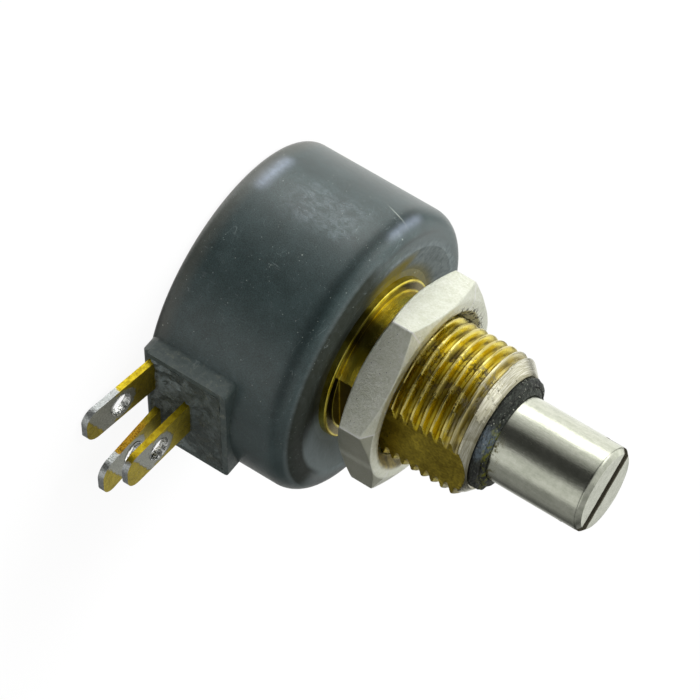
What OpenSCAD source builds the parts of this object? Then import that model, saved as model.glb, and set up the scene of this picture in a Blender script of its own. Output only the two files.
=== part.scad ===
// Sealed rotary potentiometer for panel mounting: a round moulded body with a
// terminal pad on its side, a threaded bushing with a hexagon nut, and a
// slotted metal shaft. The origin is on the shaft axis at the panel seat, +Z
// runs out along the shaft and the terminals point to -Y.

/* [Body] */
// Diameter of the moulded body
body_d = 20.2; // [18:0.1:26]
// Depth of the body behind the panel seat, rear cover included
body_depth = 11; // [10.6:0.1:14]
// Thickness of the body's side wall
side_wall = 1.1; // [0.8:0.1:1.6]
// Thickness of the body's front wall
front_wall = 1.8; // [1.4:0.1:2.2]
// Radius of the rounded front edge
front_round = 1.55; // [0.6:0.05:1.6]
// Depth of the shallow dish around the bushing
dish_depth = 0.5; // [0.2:0.05:0.8]
// Width of the flat rim and rounded edge around the dish
dish_margin = 2; // [1.6:0.1:2.8]
// Width of the inner ledge that carries the collector base
ledge_w = 1; // [0.6:0.1:1.4]

/* [Rear cover] */
// Thickness of the rear cover's rim
cover_t = 0.8; // [0.6:0.05:1.2]
// Radius of the rounded rear edge
cover_round = 0.75; // [0.2:0.05:0.75]
// Width of the ring that centres the cover in the body
cover_ring_w = 0.5; // [0.3:0.05:0.5]
// Step of the cover's tab in front of the back face
tab_step = 0.15; // [0:0.05:0.3]

/* [Terminal pad] */
// Width of the pad along X
pad_w = 8.9; // [8.4:0.1:10]
// Length of the pad along the shaft axis
pad_len = 6; // [5.6:0.1:7]
// How far the pad's end face stands out from the body's side
pad_proud = 0.3; // [0.1:0.05:1.5]
// Thickness of the pad's rim around the resin
pad_rim = 0.45; // [0.3:0.05:0.7]
// Radius of the pad's corners
pad_round = 0.4; // [0.1:0.05:0.6]
// Depth of the resin's surface below the pad's rim
resin_drop = 0.12; // [0:0.02:0.3]

/* [Terminals] */
// Width of a solder lug
lug_w = 2.8; // [2.2:0.1:3]
// Thickness of a solder lug
lug_t = 0.45; // [0.3:0.05:0.6]
// Spacing of the two end terminals
lug_pitch = 5; // [4.6:0.1:5.2]
// Length of a straight lug outside the pad's end face
lug_len = 6.05; // [4.8:0.05:7]
// Length of a lug's strip inside the body's wall
lug_inset = 3.4; // [3.2:0.1:3.6]
// Distance from the body's inner wall back to a lug's bend
bend_inset = 0.4; // [0.2:0.1:0.8]
// Radius of the hole in a lug
eye_r = 0.85; // [0.5:0.05:0.9]
// Distance from a lug's tip to the centre of its hole
eye_back = 3; // [2.5:0.1:3.4]
// Radius of the corners at a lug's tip
lug_round = 1; // [0.4:0.05:1]
// Distance from the back face to the front of the end terminals
end_row = 1.65; // [1.6:0.01:1.8]
// Distance between the fronts of the two terminal rows
row_gap = 2.5; // [2.4:0.01:2.7]
// Backward bend of the first end terminal, in degrees
bend_a = 8.4; // [0:0.2:8.4]
// Backward bend of the second end terminal, in degrees
bend_b = 0.6; // [0:0.2:8]
// Backward bend of the wiper terminal, in degrees
bend_wiper = 4.2; // [0:0.2:8]

/* [Bushing] */
// Outer diameter of the bushing's thread
thread_d = 9.96; // [9.6:0.02:10.4]
// Pitch of the bushing's thread
thread_pitch = 0.75; // [0.5:0.05:1]
// Length of the bushing in front of the panel seat
bushing_len = 9.7; // [9:0.1:12]
// Width of the cone at the bushing's end
bushing_chamfer = 0.71; // [0.4:0.01:0.8]
// Distance from the seat to the first full thread
neck_len = 1.2; // [0.8:0.1:1.6]
// Drop of the plain neck below the thread's crests
neck_drop = 0.08; // [0.04:0.02:0.3]
// Depth of the bushing's flat below the thread's crests
flat_depth = 0.83; // [0.4:0.01:0.95]
// Step from the thread's crests out to the collar in the body's front wall
collar_step = 0.72; // [0.5:0.02:1]
// Width of the flange beyond the collar, behind the front wall
flange_step = 0.9; // [0.7:0.05:1.3]
// Thickness of that flange
flange_t = 0.8; // [0.5:0.05:1]
// Radius of the counterbore at the bushing's mouth
mouth_r = 3.7; // [3.6:0.02:3.8]
// Depth of the counterbore at the bushing's mouth
mouth_depth = 1; // [0.9:0.05:1.4]

/* [Shaft] */
// Diameter of the shaft
shaft_d = 6; // [5.8:0.02:6.2]
// Length of the shaft in front of the panel seat
shaft_reach = 17.35; // [15:0.05:25]
// Width of the cone at the shaft's end
shaft_chamfer = 0.3; // [0.1:0.05:0.5]
// Width of the screwdriver slot
slot_w = 0.8; // [0.6:0.05:1]
// Depth of the screwdriver slot
slot_depth = 1.5; // [1:0.1:2]
// Direction of the screwdriver slot at mid travel, in degrees
slot_turn = -60.5; // [-90:0.5:90]
// Radial clearance of the shaft in its bushing and seal
run_clear = 0.03; // [0.02:0.005:0.05]
// Axial play of the shaft
end_play = 0.05; // [0.03:0.01:0.08]
// Half of the shaft's mechanical travel, in degrees
half_travel = 150; // [130:1:150]

/* [Shaft seal] */
// Diameter of the seal's large bead
bead_d = 7.8; // [7.5:0.05:7.9]
// Length of the seal's large bead
bead_len = 0.6; // [0.4:0.05:0.8]
// Length of the seal's small bead and lip
lip_len = 0.63; // [0.55:0.01:0.9]
// Length of the seal that sits in the bushing's mouth
seal_root = 0.35; // [0.2:0.05:0.4]

/* [Mounting nut] */
// Wall of the nut between the thread's crests and its flats
nut_wall = 1.52; // [1.3:0.02:2]
// Thickness of the nut
nut_t = 2.5; // [2:0.1:3]
// Gap between the panel seat and the nut
nut_gap = 1.55; // [1:0.05:3]
// Direction of one of the nut's corners, in degrees
nut_turn = 9.9; // [0:0.1:60]
// Radial clearance between the thread's crests and the nut
nut_clear = 0.05; // [0.03:0.01:0.1]
// Width of the corner cones at the middle of the nut's flats
nut_cone_w = 0.4; // [0.3:0.05:0.5]
// Drop of a corner cone at the nut's corners
nut_cone = 0.37; // [0.2:0.01:0.6]
// Width of the countersink on both faces of the nut
nut_sink = 0.6; // [0.3:0.05:0.7]

/* [Resistance element] */
// Thickness of the element's substrate
substrate_t = 0.6; // [0.4:0.05:0.6]
// Distance from the body's inner wall to the middle of the resistive track
track_inset = 2.8; // [2.6:0.05:3]
// Width of the resistive track
track_w = 1.4; // [1:0.1:1.4]
// Thickness of the resistive track
track_t = 0.03; // [0.02:0.01:0.04]
// Angle that the resistive track covers
track_angle = 300; // [280:1:306]
// Thickness of the collector base
base_t = 0.5; // [0.4:0.05:0.6]
// Radial clearance of the inner discs in the body
disc_clear = 0.1; // [0.05:0.01:0.2]
// Radius of an eyelet's barrel
eyelet_r = 0.5; // [0.4:0.05:0.6]
// Width of an eyelet's heads beyond its barrel
eyelet_lip = 0.35; // [0.2:0.05:0.4]
// Distance from the body's inner wall to the eyelets
eyelet_inset = 1.9; // [1.8:0.05:2]
// Thickness of an eyelet's heads
eyelet_head_t = 0.12; // [0.1:0.01:0.14]

/* [Rotor] */
// Radial clearance of the rotor's disc in the body's ledge
rotor_clear = 0.4; // [0.2:0.05:0.6]
// Thickness of the rotor's disc
rotor_t = 0.7; // [0.6:0.02:0.76]
// Diameter of the rotor's hub
hub_d = 8; // [7.6:0.1:8.4]
// Distance from the axis to the flats on the shaft's rear end
key_off = 1.9; // [1.7:0.05:2.1]
// Thickness of the contact springs
spring_t = 0.15; // [0.1:0.01:0.16]
// Angle that the contact springs cover
spring_angle = 60; // [40:1:80]
// Radius of a spring's contact tips
tip_r = 0.25; // [0.15:0.05:0.3]
// Angle that the rotor's stop arm covers
arm_angle = 30; // [24:1:34]
// Axial length of the rotor's stop arm
arm_len = 1.6; // [1.2:0.1:1.8]

/* [Hidden] */
$fn = 96;

// How far a cutting tool runs past the face that it cuts
over = 0.5;

// Stations along the shaft axis, from the back face to the shaft's end
back_z = -body_depth;
cover_z = back_z + cover_t;
end_front_z = back_z + end_row;
end_back_z = end_front_z - lug_t;
wiper_front_z = end_front_z + row_gap;
wiper_back_z = wiper_front_z - lug_t;
substrate_z = end_front_z;
track_z = substrate_z + substrate_t;
base_z = wiper_front_z;
ledge_z = base_z + base_t;
flange_z = -front_wall - flange_t;
washer_t = 0.3;
washer_clear = 0.1;
washer_z = flange_z - washer_t;
shoulder_t = 1;
shoulder_z = washer_z - end_play - shoulder_t;
ring_t = 0.35;
ring_play = 0.04;
ring_proud = 0.5;
ring_angle = 320;
mouth_z = bushing_len - mouth_depth;
groove_z = mouth_z + end_play;
groove_w = ring_t + ring_play;
seal_end_z = bushing_len + bead_len + lip_len;

// Gaps between the fixed contacts and the moving springs
contact_gap = 0.02;
room = wiper_back_z - track_z - track_t;
spring_lift = (room - rotor_t) / 2;
rotor_z = track_z + track_t + spring_lift;
rotor_top = rotor_z + rotor_t;

// Radii
body_r = body_d / 2;
cavity_r = body_r - side_wall;
ledge_r = cavity_r - ledge_w;
dish_r = body_r - dish_margin;
thread_r = thread_d / 2;
neck_r = thread_r - neck_drop;
flat_off = thread_r - flat_depth;
collar_r = thread_r + collar_step;
flange_r = collar_r + flange_step;
thread_depth = 0.58 * thread_pitch;
root_r = thread_r - thread_depth;
shaft_r = shaft_d / 2;
bore_r = shaft_r + run_clear;
hub_r = hub_d / 2;
rotor_r = ledge_r - rotor_clear;
groove_depth = 0.4;
groove_r = shaft_r - groove_depth;
shoulder_r = hub_r;
hub_clear = 0.6;
base_hole_r = hub_r + hub_clear;
track_r = cavity_r - track_inset;
collector_out = track_r + track_w / 2;

// Stops inside the body: the rotor's arm and the lug that it meets
arm_clear = 0.3;
arm_drop = 0.15;
stop_clear = 0.15;
stop_lift = 0.45;
stop_root = 0.2;
arm_r = ledge_r - arm_clear;
arm_z = shoulder_z - arm_drop - arm_len;
stop_r = flange_r + stop_clear;
stop_z = ledge_z + stop_lift;

// Contacts: two tips on each spring, and the spring's edges from the track and the hub
tip_spread = 6;
wiper_margin = 0.35;
wiper_hub_gap = 0.5;
collector_margin = 0.2;
collector_tip_in = 0.9;

// Terminals and their pad
pad_reach = body_r + pad_proud;
lug_reach = pad_reach + lug_len;
eyelet_y = -(cavity_r - eyelet_inset);
eyelet_head_r = eyelet_r + eyelet_lip;
lug_root_y = -(cavity_r - lug_inset);
bend_y = -(cavity_r - bend_inset);
pad_top_z = cover_z + pad_len;
tab_z = back_z + tab_step;
key_r = shaft_r - groove_depth;
key_clear = 0.02;

// Small features of the turned parts
collar_chamfer = 0.1;
relief_run = 0.2;
crest_drop = 0.2;
flat_lift = 0.02;
dish_land = 0.5;
lip_drop = 0.2;
seal_groove_depth = 0.25;
seal_groove_w = 0.6;
track_margin = 0.5;
corner_min = 0.05;
nudge = 0.01;

// Ring between two radii, standing on z
module ring(outer, inner, z, height) {
    translate([0, 0, z]) difference() {
        cylinder(r = outer, h = height);
        translate([0, 0, -over]) cylinder(r = inner, h = height + 2 * over);
    }
}

// Wedge of a tube about the axis: the middle of the wedge points along turn
module sector(outer, inner, z, height, angle, turn) {
    rotate([0, 0, turn - angle / 2]) translate([0, 0, z])
        rotate_extrude(angle = angle)
            translate([inner, 0]) square([outer - inner, height]);
}

// Rectangle with round corners, centred along its width
module round_plate(width, length, corner) {
    translate([-width / 2, corner]) square([width, length - 2 * corner]);
    translate([-width / 2 + corner, 0]) square([width - 2 * corner, length]);
    for (x = [-1, 1], y = [corner, length - corner])
        translate([x * (width / 2 - corner), y]) circle(r = corner);
}

// Block of the terminal pad from the shaft axis out to a distance, round at its front corners
module pad_block(inset, low_z, reach) {
    half = pad_w / 2 - inset;
    corner = max(pad_round - inset, corner_min);
    top_z = pad_top_z - inset;
    rotate([90, 0, 0]) linear_extrude(height = reach) {
        translate([-half, low_z]) square([2 * half, top_z - corner - low_z]);
        translate([corner - half, low_z]) square([2 * (half - corner), top_z - low_z]);
        for (side = [-1, 1])
            translate([side * (half - corner), top_z - corner]) circle(r = corner);
    }
}

// Side profile of the body: flat front face, round edge and straight wall
module body_profile() {
    translate([0, cover_z]) square([body_r, -front_round - cover_z]);
    translate([0, cover_z]) square([body_r - front_round, -cover_z]);
    translate([body_r - front_round, -front_round]) intersection() {
        circle(r = front_round);
        square(front_round);
    }
}

// Moulded body: cup, terminal pad, dish, bushing hole and rotation stop
module housing() {
    color([0.22, 0.26, 0.28]) {
        difference() {
            union() {
                rotate_extrude() body_profile();
                pad_block(0, cover_z, pad_reach);
            }
            translate([0, 0, cover_z - over]) cylinder(r = cavity_r, h = ledge_z - cover_z + over);
            translate([0, 0, cover_z]) cylinder(r = ledge_r, h = -front_wall - cover_z);
            translate([0, 0, -front_wall - over]) cylinder(r = collar_r, h = front_wall + 2 * over);
            rotate_extrude() polygon([[0, over], [dish_r, over], [dish_r, 0],
                                      [collar_r + dish_land, -dish_depth], [0, -dish_depth]]);
            pad_block(pad_rim, cover_z - over, pad_reach + over);
        }
        sector(ledge_r + stop_root, stop_r, stop_z, stop_root - front_wall - stop_z,
               360 - 2 * half_travel - arm_angle, -90);
    }
}

// Tab of the rear cover that closes the terminal pad, with round edges
module cover_tab() {
    intersection() {
        rotate([90, 0, 0]) linear_extrude(height = pad_reach + over)
            translate([0, tab_z]) round_plate(pad_w, pad_len, cover_round);
        rotate([90, 0, 90]) linear_extrude(height = 2 * pad_w, center = true)
            translate([0, tab_z]) round_plate(2 * pad_reach, pad_len, cover_round);
        translate([0, -pad_reach, back_z]) linear_extrude(height = cover_t)
            round_plate(pad_w, pad_reach, pad_round);
    }
}

// Rear cover: a flat disc with a round edge, a tab and a centring ring
module rear_cover() {
    color([0.24, 0.25, 0.25]) {
        cover_tab();
        rotate_extrude() {
            translate([0, back_z]) square([body_r - cover_round, cover_t]);
            translate([0, back_z + cover_round]) square([body_r, cover_t - cover_round]);
            translate([body_r - cover_round, back_z + cover_round]) intersection() {
                circle(r = cover_round);
                translate([0, -cover_round]) square(cover_round);
            }
        }
        difference() {
            ring(cavity_r - disc_clear / 2, cavity_r - disc_clear / 2 - cover_ring_w, cover_z,
                 end_back_z - cover_z);
            translate([-pad_w / 2, -body_d, cover_z]) cube([pad_w, body_d, body_depth]);
        }
    }
}

// Flat strip of a terminal with its mitred bend, from the root to the tip, without holes
module terminal_strip(front_z, bend) {
    reach = lug_reach + bend_y;
    half_t = lug_t / 2;
    middle_z = front_z - half_t;
    along = [-cos(bend), -sin(bend)];
    mitre = [half_t * tan(bend / 2), half_t];
    tip = [bend_y, middle_z] + reach * along;
    across = half_t * [-sin(bend), cos(bend)];
    intersection() {
        rotate([90, 0, 90]) linear_extrude(height = lug_w, center = true)
            polygon([[lug_root_y, front_z], [bend_y - mitre[0], front_z], tip + across,
                     tip - across, [bend_y + mitre[0], middle_z - mitre[1]],
                     [lug_root_y, middle_z - half_t]]);
        translate([0, tip[0], back_z - over]) linear_extrude(height = body_depth)
            round_plate(lug_w, 2 * lug_reach, lug_round);
    }
}

// One terminal: its strip with the solder hole and the hole for its eyelet
module terminal(front_z, bend) {
    difference() {
        terminal_strip(front_z, bend);
        translate([0, bend_y, front_z - lug_t / 2]) rotate([bend, 0, 0])
            translate([0, eye_back - lug_reach - bend_y, -lug_t]) cylinder(r = eye_r, h = 2 * lug_t);
        translate([0, eyelet_y, front_z - lug_t - over]) cylinder(r = eyelet_r, h = lug_t + 2 * over);
    }
}
module terminal_end_a() {
    color([0.66, 0.6, 0.2]) translate([-lug_pitch / 2, 0, 0]) terminal(end_front_z, bend_a);
}
module terminal_end_b() {
    color([0.66, 0.6, 0.2]) translate([lug_pitch / 2, 0, 0]) terminal(end_front_z, bend_b);
}

// Wiper terminal: its strip and the collector ring are one stamping
module terminal_wiper() {
    color([0.66, 0.6, 0.2]) {
        terminal(wiper_front_z, bend_wiper);
        difference() {
            ring(collector_out, base_hole_r, wiper_back_z, lug_t);
            translate([0, eyelet_y, wiper_back_z - over]) cylinder(r = eyelet_r, h = lug_t + 2 * over);
        }
    }
}

// Resin that fills the pad around the terminals
module terminal_potting() {
    color([0.3, 0.33, 0.34]) difference() {
        pad_block(pad_rim, cover_z, pad_reach - resin_drop);
        translate([0, 0, cover_z - over]) cylinder(r = cavity_r, h = body_depth);
        translate([-lug_pitch / 2, 0, 0]) terminal_strip(end_front_z, bend_a);
        translate([lug_pitch / 2, 0, 0]) terminal_strip(end_front_z, bend_b);
        terminal_strip(wiper_front_z, bend_wiper);
    }
}

// Eyelet through a terminal and the disc that carries it
module eyelet(x, low_z, high_z) {
    color([0.75, 0.75, 0.72]) translate([x, eyelet_y, 0]) {
        translate([0, 0, low_z]) cylinder(r = eyelet_r, h = high_z - low_z);
        translate([0, 0, low_z - eyelet_head_t]) cylinder(r = eyelet_head_r, h = eyelet_head_t);
        translate([0, 0, high_z]) cylinder(r = eyelet_head_r, h = eyelet_head_t);
    }
}
module eyelet_a() { eyelet(-lug_pitch / 2, end_back_z, track_z); }
module eyelet_b() { eyelet(lug_pitch / 2, end_back_z, track_z); }
module eyelet_wiper() { eyelet(0, wiper_back_z, ledge_z); }

// Substrate disc of the resistance element
module element_substrate() {
    color([0.85, 0.82, 0.74]) difference() {
        ring(cavity_r - disc_clear, base_hole_r, substrate_z, substrate_t);
        for (side = [-1, 1])
            translate([side * lug_pitch / 2, eyelet_y, substrate_z - over])
                cylinder(r = eyelet_r, h = substrate_t + 2 * over);
    }
}

// Resistive track on the front of the substrate, open towards the terminals
module resistive_track() {
    color([0.08, 0.08, 0.08])
        sector(track_r + track_w / 2, track_r - track_w / 2, track_z, track_t, track_angle, 90);
}

// Conductive pad between an end of the track and its eyelet
module track_pad(side) {
    open_angle = 360 - track_angle;
    gap_angle = 6;
    color([0.8, 0.8, 0.78]) difference() {
        sector(cavity_r - track_margin, track_r - track_w / 2, track_z, track_t,
               open_angle / 2 - gap_angle, side * (open_angle / 4 + gap_angle / 2) - 90);
        translate([side * lug_pitch / 2, eyelet_y, track_z - over])
            cylinder(r = eyelet_head_r, h = 2 * over);
    }
}
module track_pad_a() { track_pad(-1); }
module track_pad_b() { track_pad(1); }

// Insulating disc that carries the wiper terminal's collector ring
module collector_base() {
    color([0.5, 0.32, 0.16]) difference() {
        ring(cavity_r - disc_clear, base_hole_r, base_z, base_t);
        translate([0, eyelet_y, base_z - over]) cylinder(r = eyelet_r, h = base_t + 2 * over);
    }
}

// Ridges of the thread as one outline: root, crest and root again for each turn
function thread_points() =
    let (crest_w = thread_pitch / 8, slope = thread_depth * tan(30),
         last = bushing_len - bushing_chamfer - crest_w / 2,
         turns = floor((last - neck_len) / thread_pitch))
    [for (turn = [turns:-1:0])
        let (z = last - turn * thread_pitch)
        each [[root_r, z - crest_w / 2 - slope], [thread_r, z - crest_w / 2],
              [thread_r, z + crest_w / 2],
              [turn == 0 ? thread_r : root_r, z + crest_w / 2 + (turn == 0 ? 0 : slope)]]];

// Threaded bushing: flange, collar, neck, thread, flat and end cone
module bushing() {
    end_r = thread_r - crest_drop - bushing_chamfer;
    color([0.62, 0.52, 0.16]) difference() {
        rotate_extrude() polygon(concat(
            [[bore_r, flange_z], [flange_r, flange_z], [flange_r, -front_wall],
             [collar_r, -front_wall], [collar_r, -collar_chamfer], [collar_r - collar_chamfer, 0],
             [neck_r, 0], [neck_r, neck_len - 2 * relief_run], [root_r, neck_len - relief_run]],
            thread_points(),
            [[thread_r - crest_drop, bushing_len - bushing_chamfer], [end_r, bushing_len],
             [mouth_r, bushing_len], [mouth_r, mouth_z], [bore_r, mouth_z]]));
        translate([-thread_d, -thread_d - flat_off, flat_lift])
            cube([2 * thread_d, thread_d, bushing_len + over]);
    }
}

// Washer between the bushing's flange and the shaft's shoulder
module thrust_washer() {
    color([0.8, 0.8, 0.8]) ring(base_hole_r, shaft_r + washer_clear, washer_z, washer_t);
}

// Seal on the bushing's mouth: root in the counterbore, large bead, lip
module shaft_seal() {
    bead_r = bead_d / 2;
    lip_r = bead_r - lip_drop;
    color([0.08, 0.08, 0.09]) rotate_extrude() {
        translate([bore_r, bushing_len - seal_root]) square([mouth_r - bore_r, seal_root]);
        translate([bore_r, bushing_len]) square([bead_r - bead_len / 2 - bore_r, bead_len]);
        translate([bead_r - bead_len / 2, bushing_len + bead_len / 2]) circle(r = bead_len / 2);
        intersection() {
            translate([bore_r, bushing_len + bead_len]) square([lip_r, lip_len]);
            translate([lip_r - lip_len, bushing_len + bead_len]) circle(r = lip_len);
        }
    }
}

// Shaft: keyed rear end, shoulder, journal, two grooves, cone and slot
module shaft() {
    color([0.78, 0.78, 0.76]) difference() {
        union() {
            translate([0, 0, shoulder_z]) cylinder(r = shoulder_r, h = shoulder_t);
            translate([0, 0, shoulder_z])
                cylinder(r = shaft_r, h = shaft_reach - shaft_chamfer - shoulder_z);
            translate([0, 0, shaft_reach - shaft_chamfer])
                cylinder(r1 = shaft_r, r2 = shaft_r - shaft_chamfer, h = shaft_chamfer);
            intersection() {
                translate([0, 0, rotor_z]) cylinder(r = key_r, h = shoulder_z - rotor_z + over);
                translate([-key_r, -key_off, rotor_z - over])
                    cube([2 * key_r, 2 * key_off, shoulder_z - rotor_z + 2 * over]);
            }
        }
        ring(shaft_r + over, groove_r, groove_z, groove_w);
        ring(shaft_r + over, shaft_r - seal_groove_depth, seal_end_z - seal_groove_w, seal_groove_w);
        rotate([0, 0, slot_turn])
            translate([-shaft_d, -slot_w / 2, shaft_reach - slot_depth])
                cube([2 * shaft_d, slot_w, slot_depth + over]);
    }
}

// Ring that keeps the shaft in its bushing, with a gap to spring it on
module retaining_ring() {
    color([0.55, 0.56, 0.58])
        sector(shaft_r + ring_proud, groove_r, groove_z + ring_play / 2, ring_t, ring_angle, 90);
}

// Rotor: disc, hub with the key hole and stop arm
module rotor() {
    color([0.7, 0.66, 0.55]) difference() {
        union() {
            translate([0, 0, rotor_z]) cylinder(r = rotor_r, h = rotor_t);
            translate([0, 0, rotor_z]) cylinder(r = hub_r, h = shoulder_z - rotor_z);
            sector(arm_r, hub_r - over, arm_z, arm_len, arm_angle, 90);
        }
        intersection() {
            translate([0, 0, rotor_z - over]) cylinder(r = key_r + key_clear, h = body_depth);
            translate([-hub_r, -key_off - key_clear, rotor_z - over])
                cube([2 * hub_r, 2 * (key_off + key_clear), body_depth]);
        }
    }
}

// Spring on the back of the rotor: leaf and two contact tips on the track
module wiper_spring() {
    tip_len = spring_lift - contact_gap;
    color([0.72, 0.5, 0.3]) {
        sector(track_r + wiper_margin, hub_r + wiper_hub_gap, rotor_z - spring_t, spring_t,
               spring_angle, 90);
        for (turn = [-tip_spread, tip_spread])
            rotate([0, 0, 90 + turn]) translate([track_r, 0, rotor_z - tip_len])
                cylinder(r = tip_r, h = tip_len);
    }
}

// Spring on the front of the rotor: leaf and two contact tips on the collector
module collector_spring() {
    tip_len = spring_lift - contact_gap;
    color([0.72, 0.5, 0.3]) {
        sector(track_r - collector_margin, hub_r + collector_margin, rotor_top, spring_t,
               spring_angle, 90);
        for (turn = [-tip_spread, tip_spread])
            rotate([0, 0, 90 + turn]) translate([track_r - collector_tip_in, 0, rotor_top])
                cylinder(r = tip_r, h = tip_len);
    }
}

// Hexagon nut with coned corners and countersunk, plain bore
module mounting_nut() {
    flats_r = thread_r + nut_wall;
    corner_r = flats_r / cos(30);
    bore = thread_r + nut_clear;
    sink = bore + nut_sink;
    face_r = flats_r - nut_cone_w;
    color([0.78, 0.79, 0.75]) translate([0, 0, nut_gap]) difference() {
        intersection() {
            rotate([0, 0, nut_turn]) cylinder(r = corner_r, h = nut_t, $fn = 6);
            rotate_extrude() polygon([[0, 0], [face_r, 0], [corner_r + nudge, nut_cone],
                                      [corner_r + nudge, nut_t - nut_cone], [face_r, nut_t], [0, nut_t]]);
        }
        translate([0, 0, -over]) cylinder(r = bore, h = nut_t + 2 * over);
        translate([0, 0, -nudge]) cylinder(r1 = sink, r2 = bore, h = nut_sink);
        translate([0, 0, nut_t - nut_sink + nudge]) cylinder(r1 = bore, r2 = sink, h = nut_sink);
    }
}

housing();
rear_cover();
terminal_potting();
terminal_end_a();
terminal_end_b();
terminal_wiper();
eyelet_a();
eyelet_b();
eyelet_wiper();
element_substrate();
resistive_track();
track_pad_a();
track_pad_b();
collector_base();
bushing();
thrust_washer();
shaft_seal();
shaft();
retaining_ring();
rotor();
wiper_spring();
collector_spring();
mounting_nut();
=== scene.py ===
"""Looks of a sealed rotary potentiometer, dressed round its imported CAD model. The pieces are measured in millimetres,
which become metres where a mesh is made, and the camera, lamps and floor are placed in metres. The shaft points to
+Z and the terminals to -Y, and an azimuth is counted in degrees about the shaft axis from +X."""

import math

import bmesh
import bpy
import numpy as np
from mathutils import Matrix, Vector


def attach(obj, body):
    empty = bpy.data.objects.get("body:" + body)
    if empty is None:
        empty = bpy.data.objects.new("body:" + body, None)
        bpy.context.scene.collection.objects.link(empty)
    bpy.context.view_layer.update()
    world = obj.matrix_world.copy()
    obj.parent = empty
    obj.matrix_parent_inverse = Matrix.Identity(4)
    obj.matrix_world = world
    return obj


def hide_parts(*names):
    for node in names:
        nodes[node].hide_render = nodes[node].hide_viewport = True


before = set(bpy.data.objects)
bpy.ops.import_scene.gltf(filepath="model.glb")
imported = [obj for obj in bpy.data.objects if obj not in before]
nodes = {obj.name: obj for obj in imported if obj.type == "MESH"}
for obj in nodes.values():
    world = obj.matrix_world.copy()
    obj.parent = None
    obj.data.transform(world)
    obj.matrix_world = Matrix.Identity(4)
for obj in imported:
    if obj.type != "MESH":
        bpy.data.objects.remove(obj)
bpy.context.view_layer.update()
scene = bpy.context.scene
scene.view_settings.view_transform = "Standard"


# Camera: a long lens, a little in front of the panel seat and rolled, so that the shaft runs to the lower right
# and the terminals to the lower left.
eye = Vector((-0.24752, -0.13829, 0.09761))
picture_right = Vector((0.004075, 0.580139, 0.814507))
picture_up = Vector((-0.565990, 0.672830, -0.476398))
towards_eye = Vector((-0.824402, -0.459061, 0.331096))
camera = bpy.data.objects.new("camera", bpy.data.cameras.new("camera"))
scene.collection.objects.link(camera)
camera.matrix_world = Matrix.Translation(eye) @ Matrix((picture_right, picture_up, towards_eye)).transposed().to_4x4()
camera.data.sensor_width = 36
camera.data.lens = 243.34
camera.data.clip_start, camera.data.clip_end = 0.01, 10
scene.camera = camera


# Studio: a pale floor under the back face, a soft white room that is bright on the +Y side and dark behind the
# camera, as the bands on the shaft show it, and two soft lamps.
class Socket:
    """One output of a node. Arithmetic on it adds Math nodes, and add() puts in any other node."""

    def __init__(self, tree, out=None):
        self.tree, self.out = tree, out

    def add(self, kind, settings=None, inputs=None, output=0):
        """Adds a node of this kind, sets its settings, then the values or links of its sockets."""
        node = self.tree.nodes.new("ShaderNode" + kind)
        for name, value in (settings or {}).items():
            setattr(node, name, value)
        for key, value in (inputs or {}).items():
            if isinstance(value, Socket):
                self.tree.links.new(value.out, node.inputs[key])
            else:
                node.inputs[key].default_value = value
        return Socket(self.tree, node.outputs[output] if len(node.outputs) else None)

    def maths(self, operation, *others):
        return self.add("Math", {"operation": operation}, dict(enumerate((self, *others))))

    def __add__(self, other):
        return self.maths("ADD", other)

    def __sub__(self, other):
        return self.maths("SUBTRACT", other)

    def __rsub__(self, other):
        return self * -1.0 + other

    def __mul__(self, other):
        return self.maths("MULTIPLY", other)

    def __truediv__(self, other):
        return self.maths("DIVIDE", other)

    __radd__, __rmul__ = __add__, __mul__

    def step(self, low, high, at_low=0.0, at_high=1.0):
        """Smooth rise from at_low, where this is low, to at_high, where it is high."""
        return self.add("MapRange", {"interpolation_type": "SMOOTHSTEP"},
                        {0: self, 1: low, 2: high, 3: at_low, 4: at_high})

    def hump(self, centre, width):
        """Bell curve of this value: 1 at the centre, and 0.6 at this width from it."""
        off = (self - centre) / width
        return (off * off * -0.5).maths("EXPONENT")

    def paint(self, under, over):
        """Colour that is under where this mask is 0 and over where it is 1."""
        return self.add("Mix", {"data_type": "RGBA"}, {0: self, 6: under, 7: over}, 2)


def rgb(red, green, blue):
    """Colour as seen on a screen, 0 to 255, turned into light."""
    return (*[((v / 255 + 0.055) / 1.055) ** 2.4 if v > 10 else v / 3300 for v in (red, green, blue)], 1)


room = bpy.data.worlds.new("room")
scene.world = room
room.use_nodes = True
room.node_tree.nodes.clear()
air = Socket(room.node_tree)
away = air.add("TexCoord", output=0)
along_x, along_y, along_z = [air.add("SeparateXYZ", inputs={0: away}, output=i) for i in range(3)]
level = (1 - along_z * along_z).maths("MAXIMUM", 0.0001).maths("SQRT")
side_x, side_y = along_x / level, along_y / level
# The window stands at azimuth 131, the low card at 260 and the plain wall at 285.
bright_side = (side_y * 1.25 + 0.27).maths("MAXIMUM", 0.05).maths("MINIMUM", 1.12)
window = (side_x * -0.656 + side_y * 0.755).step(0.945, 0.995, 0, 1.3)
low_card = (side_x * -0.174 + side_y * -0.985).step(0.87, 0.975, 0, 0.42)
wall = (side_x * 0.26 + side_y * -0.966).step(0.3, 0.98, 0, 0.24)
frame_bar = along_z.hump(0.1, 0.09) * 0.8
round_about = (bright_side + window + low_card + wall) * (1 - frame_bar)
overhead = along_z.step(0.45, 0.95)
light = round_about * (1 - overhead) + side_y.step(-0.7, 0.1, 0.35, 0.62) * overhead
seen = air.add("LightPath", output=0)
glow = seen.paint(air.add("CombineColor", inputs={0: light, 1: light, 2: light * 0.97}), (1, 1, 1, 1))
air.add("OutputWorld", inputs={0: air.add("Background", inputs={0: glow, 1: 1.0})})


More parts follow.
